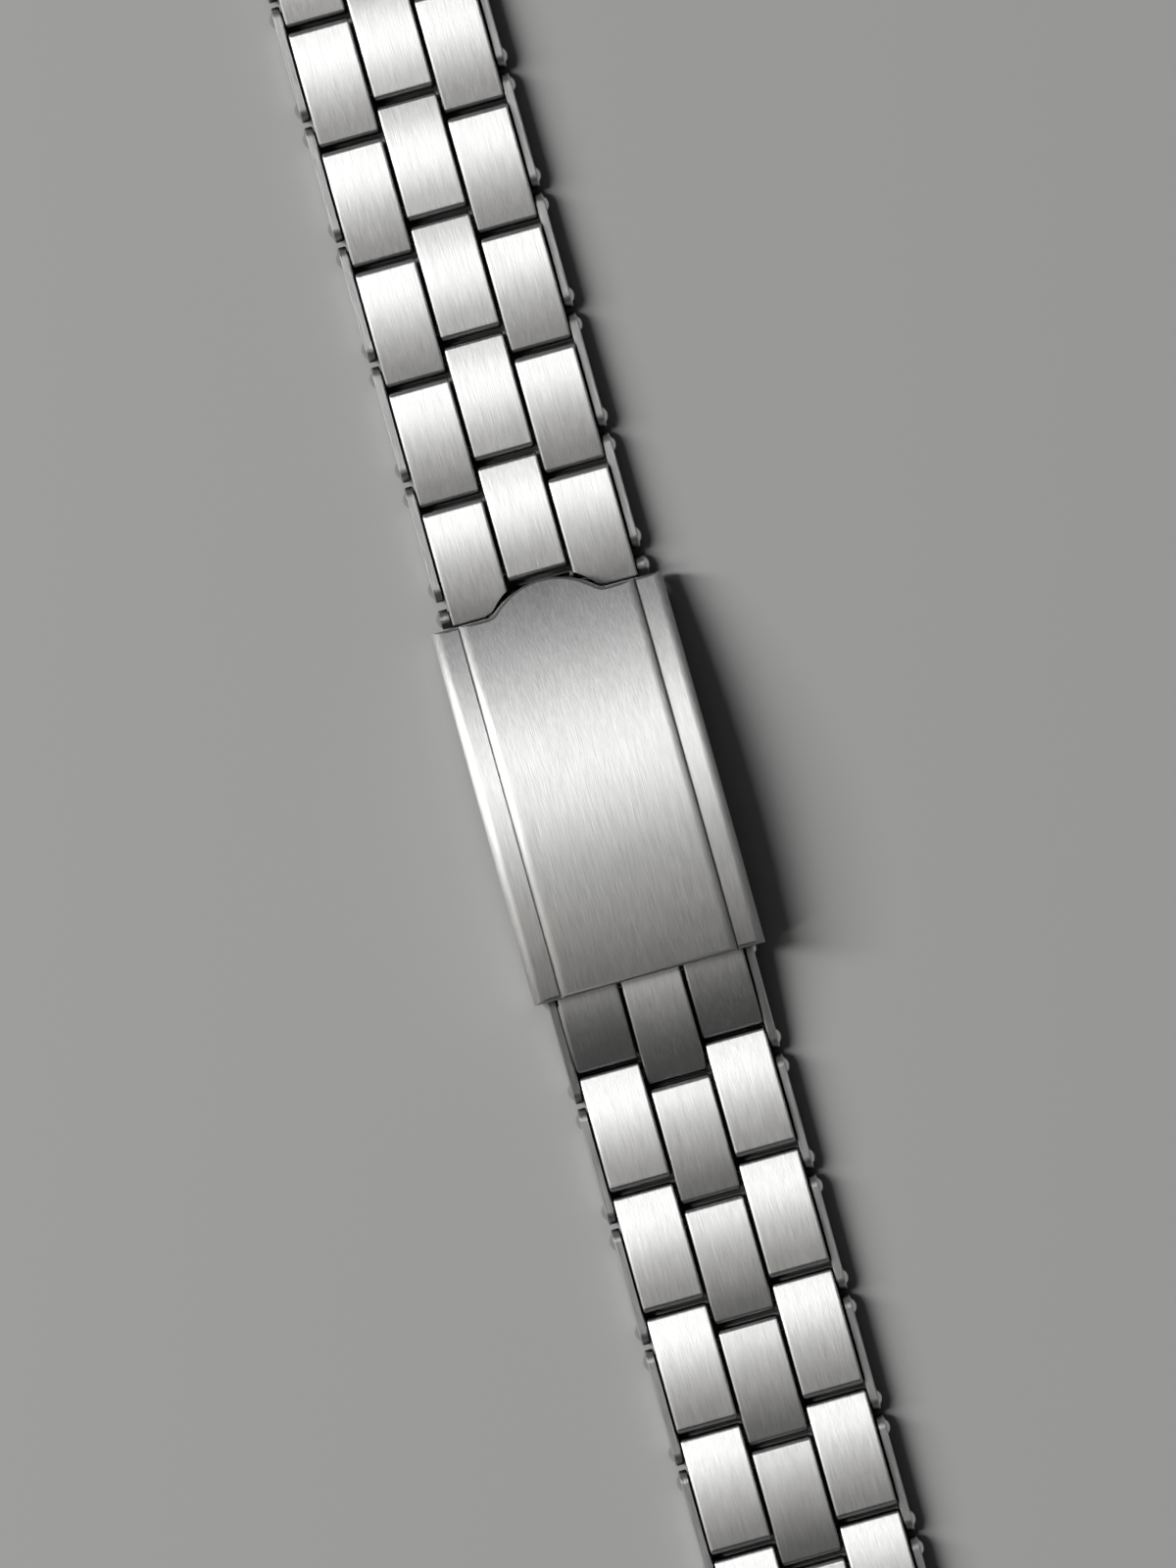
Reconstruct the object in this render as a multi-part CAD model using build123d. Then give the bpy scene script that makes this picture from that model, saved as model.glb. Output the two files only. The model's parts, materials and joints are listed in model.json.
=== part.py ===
from build123d import *
from math import asin, atan2, cos, degrees, hypot, radians, sin
import os

# A riveted, folded-link watch bracelet with a folding clasp, lying flat with the clasp closed.
# X runs across the bracelet, Y along it, Z up. The upper half lies towards +Y.
# All sizes are in millimetres and all angles in degrees.

# Rows of links
rows = 6
rivet_spacing = 6.35          # between the two rivets of a centre link
rivet_step = 2.05             # from a centre link's near rivet to its neighbour's far one
rivet_r = 0.45
running_gap = 0.03            # between a pin and the strip that turns on it
link_strip = 0.37             # thickness of the folded strip
link_crown = 0.31             # rise of a link's top between its ends
link_corner_r = 0.38          # outside radius of the strip's bends
link_bend_r = 0.3             # inside radius of the strip's bends
link_edge_r = 0.16            # rounding of a link's long edges
seam_gap = 0.14               # between the strip's two ends, under a link
centre_width = 4.1
outer_width = 4.15
lane_gap = 0.25               # between a centre link and an outer link
plate_gap = 0.1               # between an outer link and a side plate
plate_thickness = 0.6
plate_end_r = 0.86
plate_edge = 0.08             # bevel round a side plate
head_r = 0.575
head_height = 0.29
outer_tilt = 3.3              # how far an outer link rises away from the clasp
ramp_angle = 9.5              # slope of the lower half's first row, down from the clasp

# Clasp cover
cover_width = 16.0
cover_length = 25.86
cover_sheet = 0.43
cover_height = 5.1            # top of the cover above the surface, halfway along
cover_bend_r = 62.0
cover_tilt = 3.5              # how far the cover rises towards the lower half
rail_width = 1.8              # from the groove to the cover's side
panel_step = 0.25             # rise of the panel above the rails
shoulder_width = 0.55
groove_width = 0.12
groove_depth = 0.1
rail_edge_width = 0.65         # of the rounding along the cover's sides
rail_edge_drop = 0.55
cover_round_r = 0.4           # rounding of the lip and of the straight end
tongue_half = 4.16
tongue_reach = 1.62           # how far the tongue stands out of the lip
tongue_foot_r = 0.9           # hollow bend at the foot of the tongue
wall_foot = 0.35              # height of the walls' lower corners above the surface
wall_rise = 0.8               # arch of the walls' lower edge
wall_corner_r = 0.7
dimple_r = 0.4
dimple_rise = 0.12

# Clasp mechanism
bar_inset = 2.0               # from the cover's straight end to the clasp's spring bar
end_pin_reach = 0.8           # from the cover's lip to the pin of the upper half
adjust_spacing = 2.2
adjust_holes = 4
blade_thickness = 0.4
blade_width = 12.0
knuckle_width = 4.0
knuckle_gap = 0.1
hinge_pin_r = 0.4
blade_rise = 0.9              # arch of the lower blade
upper_blade_rise = 0.35
blade_hinge_inset = 4.0       # from the cover's straight end to the blade hinge
cover_hinge_inset = 7.3       # from the cover's lip to the cover hinge
cover_hinge_height = 2.75
ear_length = 2.2              # catch ears of the lower blade
ear_inset = 1.4               # from the cover's lip to the ears
ear_height = 1.2
ear_gap = 0.15                # between an ear and the cover's wall
bush_r = 0.66
tip_r = 0.3
tip_gap = 0.04

# End pieces
lug_width = 16.0
lug_gap = 0.1                 # between an end piece and each lug
end_piece_length = 5.5        # from the last rivet to the spring bar
end_neck = 1.15               # from the last rivet to where an end piece widens
end_bar_r = 0.75
end_bar_gap = 0.05
end_wall = 0.45
end_crown = 0.25
end_tip_r = 0.4
end_tip_reach = 0.9
end_edge_r = 0.2
overrun = 1.0                 # how far a cutter runs past what it cuts

# Sizes that follow
end_reach = rivet_r + running_gap + link_strip
half_height = end_reach
outer_centre = centre_width / 2 + lane_gap + outer_width / 2
plate_inner = outer_centre + outer_width / 2 + plate_gap
plate_outer = plate_inner + plate_thickness
cover_inner = cover_width / 2 - cover_sheet
panel_half = cover_width / 2 - rail_width - groove_width
hinge_eye_r = hinge_pin_r + running_gap + blade_thickness
pin_eye_r = rivet_r + blade_thickness
end_eye_r = end_bar_r + end_bar_gap + end_wall
rail_height = cover_height - panel_step


def corner_drop(slope):
    """How far the lowest point of a link lies under its end rivet, at a slope."""
    inner = end_reach - link_corner_r
    return link_corner_r + inner * (cos(radians(slope)) + sin(radians(slope)))


def step_from(point, length, slope):
    """The point a length further away from the clasp, at a slope."""
    away, up = point
    return away + length * cos(radians(slope)), up + length * sin(radians(slope))


lying_height = corner_drop(outer_tilt)
end_pin = (cover_length / 2 + end_pin_reach, lying_height)
spring_bar = (
    cover_length / 2 - bar_inset,
    corner_drop(ramp_angle) + (rivet_step + rivet_spacing) * sin(radians(ramp_angle)),
)
blade_hinge = (-(cover_length / 2 - blade_hinge_inset), hinge_eye_r + running_gap / 2)
cover_hinge = (cover_length / 2 - cover_hinge_inset, cover_hinge_height)


def half_rows(start, first_slopes):
    """The rows of one half, from the clasp outwards: near, middle and far pins, with both slopes."""
    found = []
    near = start
    for number in range(1, rows + 1):
        if number == 1 and first_slopes:
            outer_slope, inner_slope = first_slopes
        else:
            outer_slope = outer_tilt
            middle_height = step_from(near, rivet_step, outer_slope)[1]
            inner_slope = -degrees(asin((middle_height - lying_height) / rivet_spacing))
        middle = step_from(near, rivet_step, outer_slope)
        far = step_from(middle, rivet_spacing, inner_slope)
        found.append((near, middle, outer_slope, inner_slope, far))
        near = far
    return found


upper_rows = half_rows(end_pin, None)
lower_rows = half_rows(spring_bar, (-ramp_angle, -ramp_angle))
frame_shift = (lower_rows[-1][4][0] - upper_rows[-1][4][0]) / 2


def set_down(shape, pin, slope, side):
    """A shape drawn from its near pin away from the clasp, moved to its place in one half."""
    placed = Pos(0, pin[0], pin[1]) * Rot(slope, 0, 0) * shape
    if side < 0:
        placed = mirror(placed, about=Plane.XZ)
    return Pos(0, frame_shift, 0) * placed


def side_prism(face, low, high):
    """A side view, drawn in the YZ plane, made solid from one X to another."""
    return Pos(low, 0, 0) * extrude(face, high - low)


def cross_pin(radius, low, high, away=0, up=0):
    """A round pin along X."""
    disc = Plane.YZ * Pos(away, up) * Circle(radius)
    return side_prism(disc, low, high)


def link_section():
    """Side view of a link: a folded strip with a crowned top and a seam underneath."""
    near = -end_reach
    far = rivet_spacing + end_reach
    middle = rivet_spacing / 2
    outline = make_face([
        Line((near, -half_height), (far, -half_height)),
        Line((far, -half_height), (far, half_height)),
        ThreePointArc((far, half_height), (middle, half_height + link_crown), (near, half_height)),
        Line((near, half_height), (near, -half_height)),
    ])
    outline = fillet(outline.vertices(), link_corner_r)
    room = rivet_r + running_gap
    cavity = Pos(middle, 0) * Rectangle(rivet_spacing + 2 * room, 2 * room)
    cavity = fillet(cavity.vertices(), link_bend_r)
    seam = Pos(middle, -half_height) * Rectangle(seam_gap, 2 * link_strip)
    return Plane.YZ * outline, Plane.YZ * (cavity + seam)


link_outline, link_hollow = link_section()


def link(width, centre):
    """One folded link, with its near rivet at the origin."""
    low = centre - width / 2
    block = side_prism(link_outline, low, low + width)
    rims = block.faces().filter_by(Axis.X)
    block = fillet([edge for rim in rims for edge in rim.edges()], link_edge_r)
    return block - side_prism(link_hollow, low - overrun, low + width + overrun)


def rivet(half_span):
    """One rivet across a row, with a domed head at each end."""
    tip = half_span + head_height
    dome_r = (head_r * head_r + head_height * head_height) / (2 * head_height)
    turn = asin(head_r / dome_r) / 2
    half = Plane.XY * make_face([
        Line((0, 0), (0, rivet_r)),
        Line((0, rivet_r), (half_span, rivet_r)),
        Line((half_span, rivet_r), (half_span, head_r)),
        ThreePointArc(
            (half_span, head_r), (tip - dome_r + dome_r * cos(turn), dome_r * sin(turn)), (tip, 0)
        ),
        Line((tip, 0), (0, 0)),
    ])
    turned = revolve(half, Axis.X)
    return turned + mirror(turned, about=Plane.YZ)


def side_plate(side):
    """One stadium plate, with a hole for each rivet."""
    body = Plane.YZ * (
        Pos(rivet_spacing / 2, 0) * Rectangle(rivet_spacing, 2 * plate_end_r)
        + Circle(plate_end_r)
        + Pos(rivet_spacing, 0) * Circle(plate_end_r)
    )
    low = plate_inner if side > 0 else -plate_outer
    plate = side_prism(body, low, low + plate_thickness)
    rims = plate.faces().filter_by(Axis.X)
    plate = chamfer([edge for rim in rims for edge in rim.edges()], plate_edge)
    for away in (0, rivet_spacing):
        plate -= cross_pin(rivet_r, low - overrun, low + plate_thickness + overrun, away)
    return plate


def lip_cutter():
    """What the tongue of the lip takes off the top of the first outer links, in the clasp's place."""
    reach = tongue_reach + lane_gap
    face = Plane.XY * make_face(tongue_lines(cover_length / 2 + lane_gap, reach, -overrun * 3))
    return Pos(0, 0, lying_height + rivet_r) * extrude(face, cover_height)


def tongue_lines(lip, reach, back):
    """Plan outline of the lip's tongue, closed along a line further back."""
    turn = 2 * atan2(reach, tongue_half)
    nose_r = tongue_half / sin(turn) - tongue_foot_r
    foot_x = tongue_half
    join_x = foot_x - tongue_foot_r * sin(turn)
    join_y = lip + tongue_foot_r * (1 - cos(turn))
    foot_mid_x = foot_x - tongue_foot_r * sin(turn / 2)
    foot_mid_y = lip + tongue_foot_r * (1 - cos(turn / 2))
    tip = lip + tongue_foot_r * (1 - cos(turn)) + nose_r * (1 - cos(turn))
    return [
        ThreePointArc((foot_x, lip), (foot_mid_x, foot_mid_y), (join_x, join_y)),
        ThreePointArc((join_x, join_y), (0, tip), (-join_x, join_y)),
        ThreePointArc((-join_x, join_y), (-foot_mid_x, foot_mid_y), (-foot_x, lip)),
        Line((-foot_x, lip), (-foot_x, lip + back)),
        Line((-foot_x, lip + back), (foot_x, lip + back)),
        Line((foot_x, lip + back), (foot_x, lip)),
    ]


def cover_centre():
    """Centre of the cover's bend, seen from the side, as (Y, Z) before the frame shift."""
    lean = radians(cover_tilt)
    return -cover_bend_r * sin(lean), cover_height - cover_bend_r * cos(lean)


def cover_lean(away):
    """How far the top of the cover leans at a place along it."""
    return degrees(asin((away - cover_centre()[0]) / cover_bend_r))


def cover_block(plan, drop):
    """A block over a plan outline, its ends cut by planes that touch the cover's top, and rounded."""
    half = cover_length / 2
    block = Pos(0, 0, -cover_height) * extrude(Plane.XY * plan, 4 * cover_height)
    centre_y, centre_z = cover_centre()
    for away in (half, -half):
        lean = cover_lean(away)
        touch = centre_z + cover_bend_r * cos(radians(lean)) - drop
        size = 3 * cover_length
        block -= Pos(0, away, touch) * Rot(-lean, 0, 0) * Pos(0, 0, size / 2) * Box(size, size, size)
    tops = [face for face in block.faces() if face.normal_at().Z > cos(radians(45))]
    rims = []
    for face in tops:
        for edge in face.edges():
            if abs(edge.center().Y) > half - running_gap:
                rims.append(edge)
    return fillet(rims, cover_round_r)


def rounded_cover(shell):
    """The shell cut to the cover's plan, with its panel and its rails rounded at both ends."""
    seam = panel_half + groove_width / 2
    base = Rectangle(cover_width + 2 * overrun, cover_length)
    tongue = make_face(tongue_lines(cover_length / 2, tongue_reach, -overrun))
    size = 4 * cover_length
    slab = Box(2 * seam, size, size)
    panel = shell & slab & cover_block(base + tongue, 0)
    rails = (shell - slab) & cover_block(base, panel_step)
    return panel + rails


def rounded_edge(start, width, drop):
    """A quarter of an oval, from level to upright, as short arcs that mesh evenly."""
    across, up = start
    pieces = 7
    points = []
    for number in range(2 * pieces + 1):
        lean = radians(90) * number / (2 * pieces)
        reach = hypot(width * sin(lean), drop * cos(lean))
        points.append((
            across + width * width * sin(lean) / reach,
            up - drop + drop * drop * cos(lean) / reach,
        ))
    return [ThreePointArc(*points[number:number + 3]) for number in range(0, 2 * pieces, 2)]


def cover_section():
    """Half of the cover's cross-section at its middle, in X and Z."""
    top = cover_height
    rail = rail_height
    edge = cover_width / 2
    groove = panel_half + groove_width
    foot = -cover_height
    shoulder = panel_half - shoulder_width
    rail_edge = edge - rail_edge_width
    under = panel_half - 2 * cover_sheet
    inner_r = rail_edge_width - cover_sheet
    return [
        Line((0, top), (shoulder, top)),
        *rounded_edge((shoulder, top), shoulder_width, panel_step),
        Line((panel_half, rail), (panel_half, rail - groove_depth)),
        Line((panel_half, rail - groove_depth), (groove, rail - groove_depth)),
        Line((groove, rail - groove_depth), (groove, rail)),
        Line((groove, rail), (rail_edge, rail)),
        *rounded_edge((rail_edge, rail), rail_edge_width, rail_edge_drop),
        Line((edge, rail - rail_edge_drop), (edge, foot)),
        Line((edge, foot), (cover_inner, foot)),
        Line((cover_inner, foot), (cover_inner, rail - cover_sheet - inner_r)),
        Line((cover_inner, rail - cover_sheet - inner_r), (cover_inner - inner_r, rail - cover_sheet)),
        Line((cover_inner - inner_r, rail - cover_sheet), (under + panel_step, rail - cover_sheet)),
        Line((under + panel_step, rail - cover_sheet), (under, top - cover_sheet)),
        Line((under, top - cover_sheet), (0, top - cover_sheet)),
        Line((0, top - cover_sheet), (0, top)),
    ]


def blade_arc(offset):
    """Three points of the lower blade's middle, moved up by an offset."""
    near = (end_pin[0], end_pin[1] - pin_eye_r + blade_thickness / 2 + offset)
    far = (blade_hinge[0], blade_hinge[1] - hinge_eye_r + blade_thickness / 2 + offset)
    middle = ((near[0] + far[0]) / 2, (near[1] + far[1]) / 2 + blade_rise)
    return far, middle, near


def wall_outline():
    """Side view of the cover's walls, with an arched lower edge."""
    half = cover_length / 2
    top = 2 * cover_height
    face = make_face([
        ThreePointArc((-half, wall_foot), (0, wall_foot + wall_rise), (half, wall_foot)),
        Line((half, wall_foot), (half, top)),
        Line((half, top), (-half, top)),
        Line((-half, top), (-half, wall_foot)),
    ])
    corners = face.vertices().sort_by(Axis.Y)[:2]
    return Plane.YZ * fillet(corners, wall_corner_r)


def clasp_cover():
    """The cover: an arched shell with a raised panel, rails, walls and a lip with a tongue."""
    half = Plane.XZ * make_face(cover_section())
    section = half + mirror(half, about=Plane.YZ)
    axis = Axis((0, 0, cover_height - cover_bend_r), (1, 0, 0))
    sweep = degrees((cover_length + 4 * tongue_reach) / cover_bend_r)
    shell = revolve(section.rotate(axis, -sweep / 2), axis, sweep)
    pivot = Axis((0, 0, cover_height), (1, 0, 0))
    shell = shell.rotate(pivot, -cover_tilt)
    shell = rounded_cover(shell)
    walls = side_prism(wall_outline(), -cover_width, cover_width)
    tip = Pos(0, cover_length / 2 + tongue_reach / 2, cover_height) * Box(
        cover_width, tongue_reach + overrun, 2 * (cover_height - lying_height - half_height)
    )
    shell = shell & (walls + tip)
    for place in adjust_places():
        shell -= cross_pin(tip_r + tip_gap, -cover_width, cover_width, *place)
    shell -= cross_pin(hinge_pin_r, -cover_width, cover_width, *cover_hinge)
    for side in (1, -1):
        shell += dimple(side)
    return shell


def adjust_places():
    """The adjustment holes in the cover's walls, the spring bar's own one first."""
    centre_y, centre_z = cover_centre()
    bar = (-spring_bar[0], spring_bar[1])
    radius = hypot(bar[0] - centre_y, bar[1] - centre_z)
    start = atan2(bar[0] - centre_y, bar[1] - centre_z)
    places = []
    for number in range(adjust_holes):
        turn = start + number * adjust_spacing / radius
        places.append((centre_y + radius * sin(turn), centre_z + radius * cos(turn)))
    return places


def ear_middle():
    """Middle of a catch ear, seen from the side."""
    away = cover_length / 2 - ear_inset - ear_length / 2
    far, middle, near = blade_arc(0)
    bend = ThreePointArc(far, middle, near)
    share = (away - far[0]) / (near[0] - far[0])
    return away, (bend @ share).Y


def dimple(side):
    """A small round dimple inside one wall, that snaps over a catch ear of the lower blade."""
    away, up = ear_middle()
    ball_r = (dimple_r * dimple_r + dimple_rise * dimple_rise) / (2 * dimple_rise)
    depth = dimple_rise + cover_sheet / 4
    ball = Sphere(ball_r) & Pos(-ball_r + depth / 2, 0, 0) * Box(depth, 2 * ball_r, 2 * ball_r)
    if side < 0:
        ball = mirror(ball, about=Plane.YZ)
    return Pos(side * (cover_inner + ball_r - dimple_rise), away, up + ear_height / 2) * ball


def blade_strip(points_low, points_high, width, first, last):
    """A bent strip between two arcs, seen from the side, cut off at two places along Y."""
    face = make_face([
        ThreePointArc(*points_low),
        Line(points_low[2], points_high[2]),
        ThreePointArc(*reversed(points_high)),
        Line(points_high[0], points_low[0]),
    ])
    strip = side_prism(Plane.YZ * face, -width / 2, width / 2)
    length = last - first
    keep = Pos(0, (first + last) / 2, cover_height / 2) * Box(2 * width, length, 2 * cover_height)
    return strip & keep


def lower_blade():
    """The lower blade: a wide bent strip, a tongue with an eye at each end, and two catch ears."""
    low = blade_arc(-blade_thickness / 2)
    high = blade_arc(blade_thickness / 2)
    shoulder = cover_length / 2 - 3 * running_gap - wall_corner_r
    heel = blade_hinge[0] + hinge_eye_r + knuckle_gap + running_gap
    blade = blade_strip(low, high, blade_width, heel, shoulder)
    blade += blade_strip(low, high, centre_width, heel, end_pin[0])
    blade += blade_strip(low, high, knuckle_width, blade_hinge[0], shoulder)
    blade += cross_pin(pin_eye_r, -centre_width / 2, centre_width / 2, *end_pin)
    blade += cross_pin(hinge_eye_r, -knuckle_width / 2, knuckle_width / 2, *blade_hinge)
    away, up = ear_middle()
    ear_outer = cover_inner - ear_gap
    floor = blade_strip(low, high, 2 * ear_outer, away - ear_length / 2, away + ear_length / 2)
    blade += floor
    for side in (1, -1):
        flange = Box(blade_thickness, ear_length, ear_height)
        blade += Pos(side * (ear_outer - blade_thickness / 2), away, up + ear_height / 2) * flange
    blade -= cross_pin(rivet_r, -centre_width, centre_width, *end_pin)
    blade -= cross_pin(hinge_pin_r, -blade_width, blade_width, *blade_hinge)
    return blade


def upper_blade():
    """The upper blade: from two knuckles at the blade hinge to one wide knuckle at the cover hinge."""
    rise = hinge_eye_r - blade_thickness / 2
    first = (blade_hinge[0], blade_hinge[1] + rise)
    last = (cover_hinge[0], cover_hinge[1] - rise)
    middle = ((first[0] + last[0]) / 2, (first[1] + last[1]) / 2 + upper_blade_rise)
    low = [(y, z - blade_thickness / 2) for y, z in (first, middle, last)]
    high = [(y, z + blade_thickness / 2) for y, z in (first, middle, last)]
    blade = blade_strip(low, high, blade_width, first[0], last[0])
    blade += cross_pin(hinge_eye_r, -blade_width / 2, blade_width / 2, *blade_hinge)
    blade += cross_pin(hinge_eye_r, -blade_width / 2, blade_width / 2, *cover_hinge)
    slot = 2 * (hinge_eye_r + knuckle_gap)
    blade -= Pos(0, *blade_hinge) * Box(knuckle_width + 2 * knuckle_gap, slot, 2 * slot)
    blade -= cross_pin(hinge_pin_r + running_gap, -blade_width, blade_width, *blade_hinge)
    blade -= cross_pin(hinge_pin_r + running_gap, -blade_width, blade_width, *cover_hinge)
    return blade


def spring_bar_pieces(tube_r, tube_half, tip, tip_end):
    """A spring bar: its tube and the two tips that stand out of it."""
    tube = cross_pin(tube_r, -tube_half, tube_half)
    right = cross_pin(tip, tube_half, tip_end)
    left = cross_pin(tip, -tip_end, -tube_half)
    return [tube, right, left]


def end_piece():
    """An end piece: a neck between the last plates, then a wide body round the lugs' spring bar."""
    bar_up = end_eye_r - lying_height
    body_half = lug_width / 2 - lug_gap
    outline = make_face([
        Line((-end_reach, -lying_height), (end_piece_length, -lying_height)),
        Line((end_piece_length, -lying_height), (end_piece_length, bar_up + end_eye_r)),
        ThreePointArc(
            (end_piece_length, bar_up + end_eye_r),
            (end_piece_length / 2, (half_height + bar_up + end_eye_r) / 2 + end_crown),
            (-end_reach, half_height),
        ),
        Line((-end_reach, half_height), (-end_reach, -lying_height)),
    ])
    outline = fillet(outline.vertices().sort_by(Axis.X)[:2], link_corner_r)
    side = Plane.YZ * (outline + Pos(end_piece_length, bar_up) * Circle(end_eye_r))
    wide = side_prism(side, -body_half, body_half)
    wide &= Pos(0, end_neck + end_piece_length, 0) * Box(2 * lug_width, 2 * end_piece_length, lug_width)
    rims = wide.faces().filter_by(Axis.X)
    wide = fillet([edge for rim in rims for edge in rim.edges()], end_edge_r)
    neck = side_prism(side, -outer_centre - outer_width / 2, outer_centre + outer_width / 2)
    piece = wide + neck
    notch = 2 * (end_reach + lane_gap)
    piece -= Box(centre_width + 2 * lane_gap, notch, lug_width)
    piece -= cross_pin(rivet_r + running_gap, -lug_width, lug_width)
    piece -= cross_pin(end_bar_r + end_bar_gap, -lug_width, lug_width, end_piece_length, bar_up)
    return piece


def first_outer_links():
    """The outer links next to the lip, with their inner corners cut back for the tongue."""
    near, _, slope, _, _ = upper_rows[0]
    cutter = Rot(-slope, 0, 0) * Pos(0, -near[0], -near[1]) * lip_cutter()
    return [link(outer_width, side * outer_centre) - cutter for side in (1, -1)]


def write(name, solids):
    """Writes one node."""
    shape = solids[0] if len(solids) == 1 else Compound(children=list(solids))
    export_step(shape, f"parts/{name}.step")


def write_half(prefix, side, places):
    """Writes the rows of one half, and its end piece."""
    for number, (near, middle, outer_slope, inner_slope, far) in enumerate(places, 1):
        outers = [link(outer_width, x * outer_centre) for x in (1, -1)]
        if side > 0 and number == 1:
            outers = first_outer_links()
        write(
            f"{prefix}_outer_links_{number}",
            [set_down(piece, near, outer_slope, side) for piece in outers],
        )
        inner = set_down(link(centre_width, 0), middle, inner_slope, side)
        write(f"{prefix}_centre_link_{number}", [inner])
        plates = [set_down(side_plate(x), middle, inner_slope, side) for x in (1, -1)]
        write(f"{prefix}_side_plates_{number}", plates)
        rivets = [rivet(plate_outer), Pos(0, rivet_spacing, 0) * rivet(plate_outer)]
        rivets = [set_down(piece, middle, inner_slope, side) for piece in rivets]
        write(f"{prefix}_rivets_{number}", rivets)
    last = (places[-1][4][0], lying_height)
    write(f"{prefix}_end_piece", [set_down(end_piece(), last, 0, side)])
    bar = spring_bar_pieces(end_bar_r, lug_width / 2 - lug_gap, end_tip_r, lug_width / 2 + end_tip_reach)
    axle = (last[0] + end_piece_length, end_eye_r)
    write(f"{prefix}_end_spring_bar", [set_down(piece, axle, 0, side) for piece in bar])


def write_clasp():
    """Writes the clasp's pieces."""
    shift = Pos(0, frame_shift, 0)
    write("clasp_cover", [shift * clasp_cover()])
    write("clasp_lower_blade", [shift * lower_blade()])
    write("clasp_upper_blade", [shift * upper_blade()])
    hinge_half = blade_width / 2
    write("clasp_blade_hinge_pin", [shift * cross_pin(hinge_pin_r, -hinge_half, hinge_half, *blade_hinge)])
    wall_half = cover_width / 2
    write("clasp_cover_hinge_pin", [shift * cross_pin(hinge_pin_r, -wall_half, wall_half, *cover_hinge)])
    write("clasp_end_pin", [set_down(rivet(plate_outer), end_pin, 0, 1)])
    bushes = []
    for low in (plate_inner, -plate_outer):
        bush = cross_pin(bush_r, low, low + plate_thickness)
        bush -= cross_pin(rivet_r, low - overrun, low + plate_thickness + overrun)
        bushes.append(set_down(bush, end_pin, 0, 1))
    write("clasp_end_bushes", bushes)
    bar = spring_bar_pieces(rivet_r, cover_inner - tip_gap, tip_r, cover_width / 2 - tip_gap)
    write("clasp_spring_bar", [set_down(piece, spring_bar, 0, -1) for piece in bar])


os.makedirs("parts", exist_ok=True)
write_half("upper", 1, upper_rows)
write_half("lower", -1, lower_rows)
write_clasp()
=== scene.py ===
import bpy
import json
import math
from mathutils import Matrix, Vector


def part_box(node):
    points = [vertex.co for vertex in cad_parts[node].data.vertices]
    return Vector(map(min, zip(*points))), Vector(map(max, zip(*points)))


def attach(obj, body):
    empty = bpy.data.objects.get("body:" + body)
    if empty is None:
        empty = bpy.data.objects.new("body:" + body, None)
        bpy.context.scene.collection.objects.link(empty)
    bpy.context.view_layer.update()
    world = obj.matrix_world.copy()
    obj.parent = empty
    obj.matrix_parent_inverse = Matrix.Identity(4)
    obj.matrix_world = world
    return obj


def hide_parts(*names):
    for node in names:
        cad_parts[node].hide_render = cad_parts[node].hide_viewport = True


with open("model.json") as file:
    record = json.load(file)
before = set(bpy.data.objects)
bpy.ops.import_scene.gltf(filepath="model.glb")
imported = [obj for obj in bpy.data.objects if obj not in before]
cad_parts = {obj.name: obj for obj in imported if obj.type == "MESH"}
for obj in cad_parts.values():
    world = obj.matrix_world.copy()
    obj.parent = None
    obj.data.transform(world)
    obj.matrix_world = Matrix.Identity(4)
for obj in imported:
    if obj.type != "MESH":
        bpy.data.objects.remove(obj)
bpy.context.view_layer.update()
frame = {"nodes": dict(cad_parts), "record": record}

MM = 0.001                    # in metres, as the frame and all places in the scene are
STRAIGHT_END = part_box("clasp_cover")[0][1]    # the clasp's end towards the lower half


# Camera

VIEW_FOOT = Vector((-5 * MM, STRAIGHT_END + 5 * MM, 465 * MM))
VIEW_TARGET = Vector((-0.56 * MM, STRAIGHT_END + 13.39 * MM, 1.8 * MM))
VIEW_TURN = 15.57             # degrees that the bracelet leans in the picture
PIXELS_PER_MM = 15.2
PICTURE_HEIGHT = 1600         # pixels
SENSOR_HEIGHT = 36            # millimetres
CLIP_FROM, CLIP_TO = 0.01, 20


def add_camera():
    data = bpy.data.cameras.new("camera")
    camera = bpy.data.objects.new("camera", data)
    bpy.context.scene.collection.objects.link(camera)
    forward = (VIEW_TARGET - VIEW_FOOT).normalized()
    up = Vector((math.sin(math.radians(VIEW_TURN)), math.cos(math.radians(VIEW_TURN)), 0))
    right = forward.cross(up).normalized()
    up = right.cross(forward)
    turn = Matrix((right, up, -forward)).transposed().to_4x4()
    camera.matrix_world = Matrix.Translation(VIEW_FOOT) @ turn
    data.sensor_fit = "VERTICAL"
    data.sensor_height = SENSOR_HEIGHT
    distance = (VIEW_TARGET - VIEW_FOOT).length / MM
    data.lens = SENSOR_HEIGHT * PIXELS_PER_MM * distance / PICTURE_HEIGHT
    data.clip_start = CLIP_FROM
    data.clip_end = CLIP_TO
    bpy.context.scene.camera = camera


# Node helpers

def new_material(name):
    material = bpy.data.materials.new(name)
    material.use_nodes = True
    material.node_tree.nodes.clear()
    return material, material.node_tree


def add(tree, kind, **values):
    """A new node, with values for its inputs or, where it has no such input, for its settings."""
    node = tree.nodes.new(kind)
    for key, value in values.items():
        if key in node.inputs:
            node.inputs[key].default_value = value
        else:
            setattr(node, key, value)
    return node


def spread(tree, source, low, high, start=0.0, end=1.0):
    """The source's span from start to end, spread from low to high."""
    node = add(tree, "ShaderNodeMapRange")
    node.inputs["From Min"].default_value = start
    node.inputs["From Max"].default_value = end
    node.inputs["To Min"].default_value = low
    node.inputs["To Max"].default_value = high
    tree.links.new(source, node.inputs["Value"])
    return node.outputs["Result"]


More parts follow.
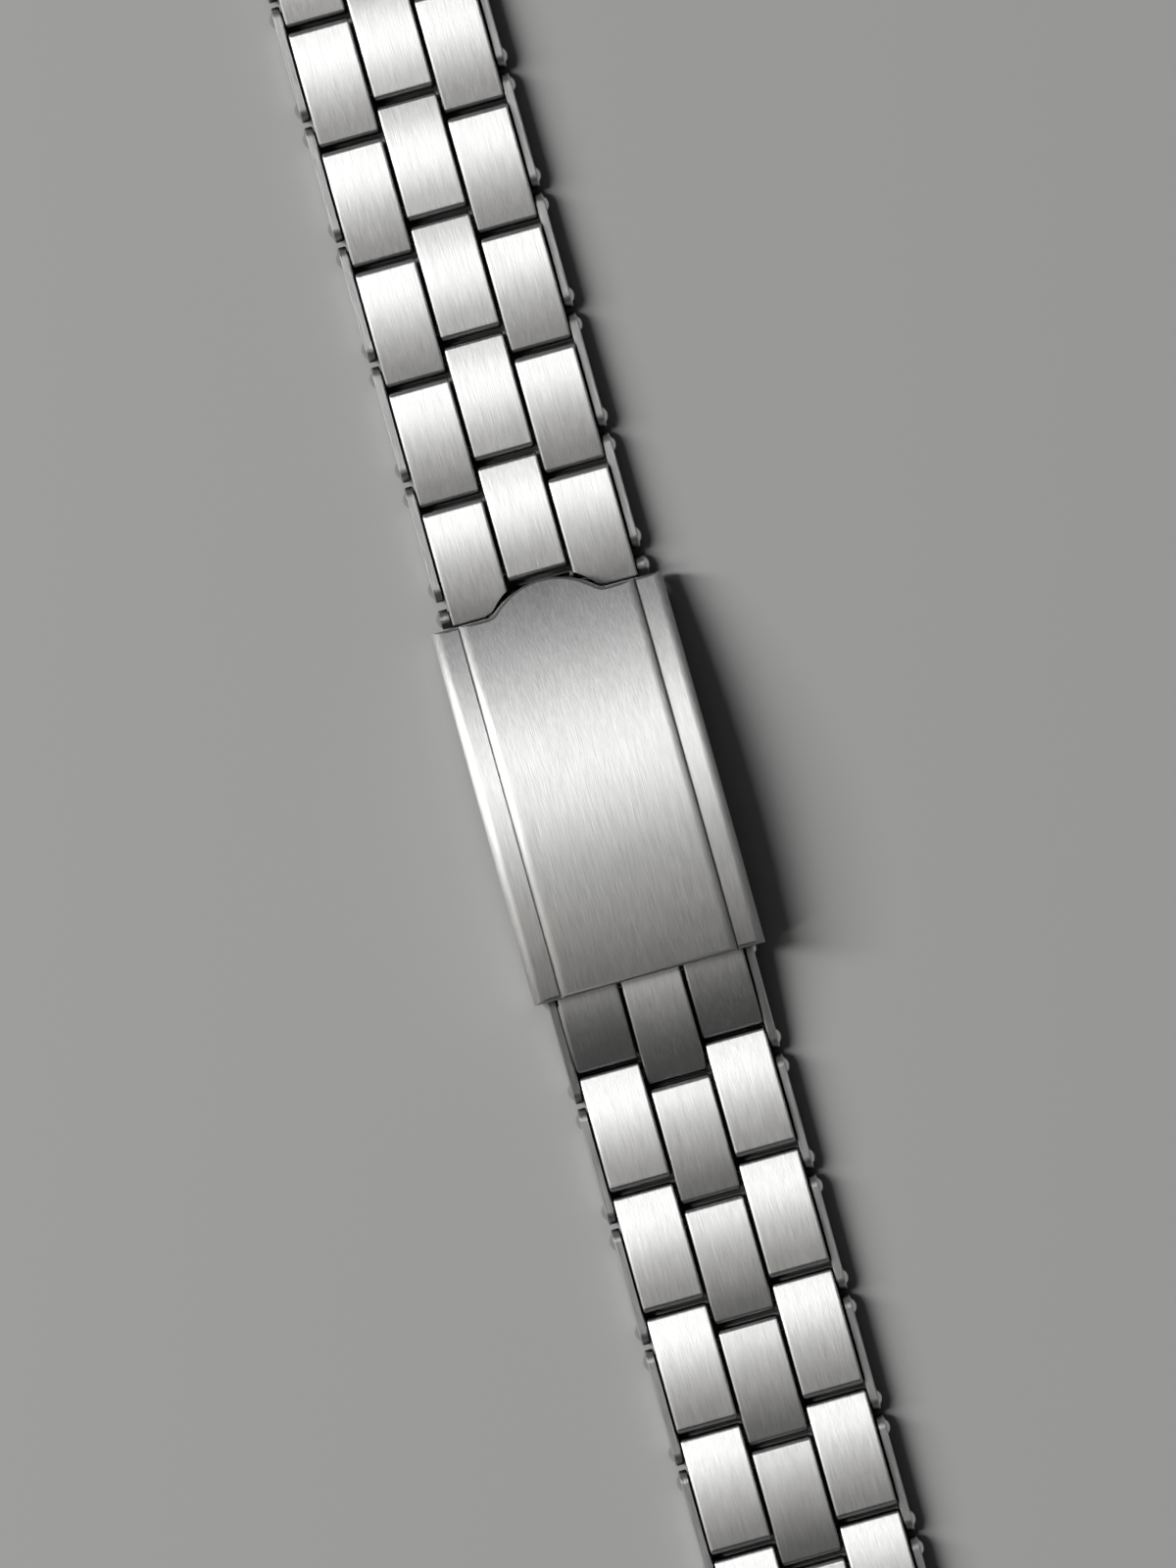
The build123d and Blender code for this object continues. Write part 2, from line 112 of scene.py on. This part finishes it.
def share_added(tree, first, share, second):
    """A share of the first value, plus the second."""
    node = add(tree, "ShaderNodeMath", operation="MULTIPLY_ADD")
    tree.links.new(first, node.inputs[0])
    node.inputs[1].default_value = share
    tree.links.new(second, node.inputs[2])
    return node.outputs[0]


def seen_ray(tree):
    """One for the rays that show the background, directly or in metal and glass, and nought for the rest."""
    path = add(tree, "ShaderNodeLightPath")
    found = path.outputs["Is Camera Ray"]
    for kind in ("Is Glossy Ray", "Is Transmission Ray"):
        either = add(tree, "ShaderNodeMath", operation="MAXIMUM")
        tree.links.new(found, either.inputs[0])
        tree.links.new(path.outputs[kind], either.inputs[1])
        found = either.outputs[0]
    return found


# Steel

GRAIN = (0.075, 2.0)          # millimetres across and along
PATCH_GRAIN = (3.0, 4.0)
BROADER, LONGER = 4, 2        # times, the broad grain against the fine one
GRAIN_DETAIL, PATCH_DETAIL = 3.0, 2.0
GRAIN_ROUGHNESS = 0.6
FINE_SEED, BROAD_SEED, PATCH_SEED = 3.1, 11.7, 23.3
SEED_STEP = 1.7               # between a noise's places along X and along Y
BUMP = 0.012                  # millimetres that the fine grain stands up
SMOOTH_BUMP = 0.005
BROAD_SHARE = 0.4             # of the broad grain in the colour
PATCH_SHARE = 0.7             # of the patches in the roughness
COLOUR_SPAN = (0.5, 0.9)      # of the noise, from the darkest to the full tone
ROUGH_SPAN = (0.55, 1.15)     # of the noise, from the smoothest to the roughest
CREVICE_REACH = 1.4           # millimetres within which close surfaces paint shade into the steel
CREVICE_SPAN = (0.35, 0.8)    # of the openness, from the darkest painted shade to the full tone
CREVICE_SAMPLES = 6

# Brush is how strongly the grain shows; the share of painted shade sets how dark the crevices are painted.
STEELS = {
    "brushed_links": {
        "tone": (0.63, 0.63, 0.622), "dark": (0.43, 0.43, 0.425), "rough": 0.48, "rough_spread": 0.03,
        "anisotropy": 0.80, "brush": 0.65,
    },
    "brushed_cover": {
        "tone": (0.53, 0.53, 0.523), "dark": (0.35, 0.35, 0.346), "rough": 0.48, "rough_spread": 0.03,
        "anisotropy": 0.84, "brush": 0.65, "painted_shade": 0.3,
    },
    "polished_plates": {
        "tone": (0.56, 0.56, 0.553), "dark": (0.42, 0.42, 0.416), "rough": 0.40, "rough_spread": 0.05,
        "anisotropy": 0.3, "brush": 0.4,
    },
    "polished_rivets": {
        "tone": (0.72, 0.72, 0.712), "dark": (0.56, 0.56, 0.555), "rough": 0.2, "rough_spread": 0.04,
        "anisotropy": 0.0, "brush": 0.3, "grain": (0.3, 0.3), "bump": SMOOTH_BUMP, "painted_shade": 0.9,
    },
    "polished_blades": {
        "tone": (0.7, 0.7, 0.69), "dark": (0.5, 0.5, 0.5), "rough": 0.24, "rough_spread": 0.05,
        "anisotropy": 0.3, "brush": 0.3,
    },
    "spring_bars": {
        "tone": (0.66, 0.66, 0.65), "dark": (0.5, 0.5, 0.5), "rough": 0.3, "rough_spread": 0.04,
        "anisotropy": 0.0, "brush": 0.2, "grain": (0.4, 0.1), "bump": SMOOTH_BUMP,
    },
}


def stretched_noise(tree, coords, grain, seed, detail=GRAIN_DETAIL):
    """Noise with grains of a width across X, twice that across Z, and a length along Y."""
    across, along = grain
    mapping = add(tree, "ShaderNodeMapping")
    mapping.inputs["Scale"].default_value = (1 / (across * MM), 1 / (along * MM), 0.5 / (across * MM))
    mapping.inputs["Location"].default_value = (seed, seed * SEED_STEP, 0)
    tree.links.new(coords, mapping.inputs["Vector"])
    noise = add(tree, "ShaderNodeTexNoise", Scale=1.0, Detail=detail, Roughness=GRAIN_ROUGHNESS)
    tree.links.new(mapping.outputs["Vector"], noise.inputs["Vector"])
    return noise.outputs["Fac"]


def grained_colour(tree, noise, tone, dark, brush):
    """The tone, with a share of dark in it, up to the brush's, where the noise is low."""
    colour = add(tree, "ShaderNodeMixRGB")
    colour.inputs["Color1"].default_value = (*dark, 1)
    colour.inputs["Color2"].default_value = (*tone, 1)
    tree.links.new(spread(tree, noise, 1 - brush, 1.0, *COLOUR_SPAN), colour.inputs["Fac"])
    return colour.outputs[0]


def painted_crevice_shade(tree, colour, painted_shade):
    """The colour with painted shade: darker where other surfaces are close."""
    openness = add(tree, "ShaderNodeAmbientOcclusion", Distance=CREVICE_REACH * MM, samples=CREVICE_SAMPLES)
    darker = add(tree, "ShaderNodeMixRGB", blend_type="MULTIPLY", Fac=1.0)
    tree.links.new(colour, darker.inputs["Color1"])
    # painted shade: the share of the tone that stays, less where close surfaces would block the light
    unshaded_share = spread(tree, openness.outputs["AO"], 1 - painted_shade, 1.0, *CREVICE_SPAN)
    tree.links.new(unshaded_share, darker.inputs["Color2"])
    return darker.outputs[0]


def steel(name, tone, dark, rough, rough_spread, anisotropy, brush, grain=GRAIN, bump=BUMP, painted_shade=1.0):
    """Steel with a lengthwise grain, in its colour, its roughness and its surface, and painted shade in its
    crevices.
    """
    material, tree = new_material(name)
    coords = add(tree, "ShaderNodeTexCoord").outputs["Object"]
    fine = stretched_noise(tree, coords, grain, FINE_SEED)
    broad = stretched_noise(tree, coords, (grain[0] * BROADER, grain[1] * LONGER), BROAD_SEED)
    patch = stretched_noise(tree, coords, PATCH_GRAIN, PATCH_SEED, PATCH_DETAIL)
    bsdf = add(tree, "ShaderNodeBsdfPrincipled", Metallic=1.0, Anisotropic=anisotropy)
    colour = grained_colour(tree, share_added(tree, broad, BROAD_SHARE, fine), tone, dark, brush)
    # the grained colour gets painted shade in its crevices
    tree.links.new(painted_crevice_shade(tree, colour, painted_shade), bsdf.inputs["Base Color"])
    mixed = share_added(tree, patch, PATCH_SHARE, fine)
    roughness = spread(tree, mixed, rough - rough_spread, rough + rough_spread, *ROUGH_SPAN)
    tree.links.new(roughness, bsdf.inputs["Roughness"])
    across = add(tree, "ShaderNodeCombineXYZ", X=1.0)
    tree.links.new(across.outputs[0], bsdf.inputs["Tangent"])
    raised = add(tree, "ShaderNodeBump", Strength=1.0, Distance=bump * MM)
    tree.links.new(fine, raised.inputs["Height"])
    tree.links.new(raised.outputs[0], bsdf.inputs["Normal"])
    out = add(tree, "ShaderNodeOutputMaterial")
    tree.links.new(bsdf.outputs[0], out.inputs["Surface"])
    return material


def dress():
    """Gives every node the steel of its slot."""
    made = {name: steel(name, **values) for name, values in STEELS.items()}
    slots = {entry["node"]: entry["material_slot"] for entry in frame["record"]["subparts"]}
    for node, obj in frame["nodes"].items():
        material = made[slots[node]]
        if not obj.material_slots:
            obj.data.materials.append(material)
        for slot in obj.material_slots:
            slot.material = material


# The cover's own bend and cross-section, in millimetres, for its shading

BEND_R = 62.0
COVER_LENGTH = 25.86
COVER_TILT = math.radians(3.5)
COVER_HEIGHT = 5.1
PANEL_STEP = 0.25
SHOULDER_FROM, SHOULDER_WIDTH = 5.53, 0.55
RAIL_FROM, RAIL_EDGE_FROM, RAIL_EDGE_WIDTH, RAIL_EDGE_DROP = 6.2, 7.35, 0.65, 0.55
NEARLY = 0.003                # how far a point of a flat may lie off it
OVAL_NEARLY = 0.006           # how far a point of an oval may lie off it
STEPS_PER_METRE = 1e7         # corners in the same step are one corner
SKIN_LIMIT = math.cos(math.radians(40))     # a facet that leans further off the skin isn't part of it
FACET_LIMIT = math.cos(math.radians(35))    # facets that lean further apart have an edge between them


def oval_lean(across, up, width, drop):
    """The outward direction on a quarter oval, or None off it."""
    if not (-NEARLY <= across <= width + NEARLY and -NEARLY <= up <= drop + NEARLY):
        return None
    if abs(math.hypot(across / width, up / drop) - 1) * min(width, drop) > OVAL_NEARLY:
        return None
    return Vector((across / (width * width), up / (drop * drop))).normalized()


def section_lean(across, height):
    """The outward direction on the cover's skin, at a place of its cross-section, or None off it."""
    side = abs(across)
    top = COVER_HEIGHT - height
    if abs(top) < NEARLY and side <= SHOULDER_FROM + NEARLY:
        found = Vector((0, 1))
    elif side < RAIL_FROM:
        found = oval_lean(side - SHOULDER_FROM, PANEL_STEP - top, SHOULDER_WIDTH, PANEL_STEP)
    elif abs(top - PANEL_STEP) < NEARLY and side <= RAIL_EDGE_FROM + NEARLY:
        found = Vector((0, 1))
    else:
        up = PANEL_STEP + RAIL_EDGE_DROP - top
        found = oval_lean(side - RAIL_EDGE_FROM, up, RAIL_EDGE_WIDTH, RAIL_EDGE_DROP)
    if found and across < 0:
        found.x = -found.x
    return found


def skin_normal(point):
    """The cover's true outward direction at a point of its outer skin, or None elsewhere."""
    middle = STRAIGHT_END / MM + COVER_LENGTH / 2
    away = point.y / MM - middle + BEND_R * math.sin(COVER_TILT)
    up = point.z / MM - COVER_HEIGHT + BEND_R * math.cos(COVER_TILT)
    radius = math.hypot(away, up)
    lean = section_lean(point.x / MM, COVER_HEIGHT - BEND_R + radius)
    if lean is None:
        return None
    return Vector((lean.x, lean.y * away / radius, lean.y * up / radius)).normalized()


def joined_mesh(source, name):
    """The source's mesh, moved to where the source stands, with the corners that coincide made one."""
    places = {}
    corners = []
    order = []
    for vertex in source.data.vertices:
        point = source.matrix_world @ vertex.co
        key = tuple(round(value * STEPS_PER_METRE) for value in point)
        if key not in places:
            places[key] = len(corners)
            corners.append(point)
        order.append(places[key])
    faces = []
    for polygon in source.data.polygons:
        face = [order[corner] for corner in polygon.vertices]
        if len(set(face)) == len(face):
            faces.append(face)
    mesh = bpy.data.meshes.new(name)
    mesh.from_pydata(corners, [], faces)
    mesh.polygons.foreach_set("use_smooth", [True] * len(mesh.polygons))
    return mesh


def shading_leans(mesh):
    """A direction for each face's corners: the skin's own, or off the skin that of the facets round it."""
    around = [[] for _ in mesh.vertices]
    for polygon in mesh.polygons:
        for corner in polygon.vertices:
            around[corner].append(polygon.index)
    true = [skin_normal(vertex.co) for vertex in mesh.vertices]
    flat = [polygon.normal.copy() for polygon in mesh.polygons]
    area = [polygon.area for polygon in mesh.polygons]
    leans = []
    for polygon in mesh.polygons:
        own = flat[polygon.index]
        for corner in polygon.vertices:
            skin = true[corner]
            if skin is not None and skin.dot(own) > SKIN_LIMIT:
                leans.append(skin)
                continue
            total = Vector((0, 0, 0))
            for other in around[corner]:
                if flat[other].dot(own) > FACET_LIMIT:
                    total += flat[other] * area[other]
            leans.append(total.normalized() if total.length > 0 else own)
    return leans


def smooth_copy(node, body):
    """The node's own shape with its corners joined and true shading on its outer skin."""
    source = frame["nodes"][node]
    mesh = joined_mesh(source, node + "_smooth")
    mesh.normals_split_custom_set(shading_leans(mesh))
    mesh.materials.append(source.material_slots[0].material)
    piece = bpy.data.objects.new(node + "_smooth", mesh)
    bpy.context.scene.collection.objects.link(piece)
    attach(piece, body)
    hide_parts(node)


# Floor and light

FLOOR_HALF = 3.0
FLOOR_COLOUR = (0.405, 0.405, 0.402, 1)
FLOOR_GLOW = 0.015            # strength, away from the object
NEAR_REACH = 5                # millimetres round the object where the glow fades into painted shadow
NEAR_FROM = 0.45              # openness at which the glow begins
NEAR_SAMPLES = 8
WORLD_COLOUR = (0.95, 0.98, 1.0, 1)
WORLD_LEVEL = 0.021
HORIZON_LEVEL = 0.3           # of the pale horizon that shows in metal
HORIZON_TOP = 0.5             # sine of the elevation where it ends

# Place and size in metres, power in watts, and colour
LAMPS = {
    "key": ((-0.92, 0.31, 0.96), (0.20, 1.0), 18.2, (1, 1, 1)),
    "overhead": ((-0.86, -0.17, 0.96), (0.1, 0.4), 2.0, (1.0, 0.97, 0.93)),
    "back": ((-1.00, 0.86, 1.16), (0.4, 0.4), 0.8, (0.88, 1.0, 0.98)),
}


def floor_material():
    """A plain pale floor, with a little glow that fades into painted shadow near the object."""
    material, tree = new_material("floor")
    diffuse = add(tree, "ShaderNodeBsdfDiffuse", Color=FLOOR_COLOUR)
    glow = add(tree, "ShaderNodeEmission", Color=(1, 1, 1, 1))
    level = add(tree, "ShaderNodeMath", operation="MULTIPLY")
    painted_shadow_openness = add(tree, "ShaderNodeAmbientOcclusion", Distance=NEAR_REACH * MM, samples=NEAR_SAMPLES)
    tree.links.new(seen_ray(tree), level.inputs[0])
    # the glow fades where the object is close: a painted shadow round and under it
    tree.links.new(spread(tree, painted_shadow_openness.outputs["AO"], 0.0, FLOOR_GLOW, NEAR_FROM), level.inputs[1])
    tree.links.new(level.outputs[0], glow.inputs["Strength"])
    total = add(tree, "ShaderNodeAddShader")
    tree.links.new(diffuse.outputs[0], total.inputs[0])
    tree.links.new(glow.outputs[0], total.inputs[1])
    out = add(tree, "ShaderNodeOutputMaterial")
    tree.links.new(total.outputs[0], out.inputs["Surface"])
    return material


def add_floor():
    half = FLOOR_HALF
    mesh = bpy.data.meshes.new("floor")
    corners = [(-half, -half, 0), (half, -half, 0), (half, half, 0), (-half, half, 0)]
    mesh.from_pydata(corners, [], [(0, 1, 2, 3)])
    floor = bpy.data.objects.new("floor", mesh)
    bpy.context.scene.collection.objects.link(floor)
    mesh.materials.append(floor_material())


def add_lamp(name, place, size, power, colour):
    """A soft lamp that is aimed at the frame's origin."""
    data = bpy.data.lights.new(name, "AREA")
    data.shape = "RECTANGLE"
    data.size, data.size_y = size
    data.energy = power
    data.color = colour
    lamp = bpy.data.objects.new(name, data)
    bpy.context.scene.collection.objects.link(lamp)
    place = Vector(place)
    lamp.location = place
    lamp.rotation_euler = (-place).to_track_quat("-Z", "Y").to_euler()


def add_world():
    """A dim world, with a pale horizon for the rays that show the background."""
    world = bpy.data.worlds.new("world")
    bpy.context.scene.world = world
    world.use_nodes = True
    tree = world.node_tree
    background = tree.nodes["Background"]
    background.inputs["Color"].default_value = WORLD_COLOUR
    parts = add(tree, "ShaderNodeSeparateXYZ")
    tree.links.new(add(tree, "ShaderNodeTexCoord").outputs["Generated"], parts.inputs[0])
    level = add(tree, "ShaderNodeMath", operation="MULTIPLY_ADD")
    tree.links.new(seen_ray(tree), level.inputs[0])
    tree.links.new(spread(tree, parts.outputs["Z"], HORIZON_LEVEL, 0.0, 0.0, HORIZON_TOP), level.inputs[1])
    level.inputs[2].default_value = WORLD_LEVEL
    tree.links.new(level.outputs[0], background.inputs["Strength"])


add_camera()
dress()
smooth_copy("clasp_cover", "clasp_top")
add_floor()
for lamp_name, values in LAMPS.items():
    add_lamp(lamp_name, *values)
add_world()
bpy.context.scene.view_settings.view_transform = "Standard"
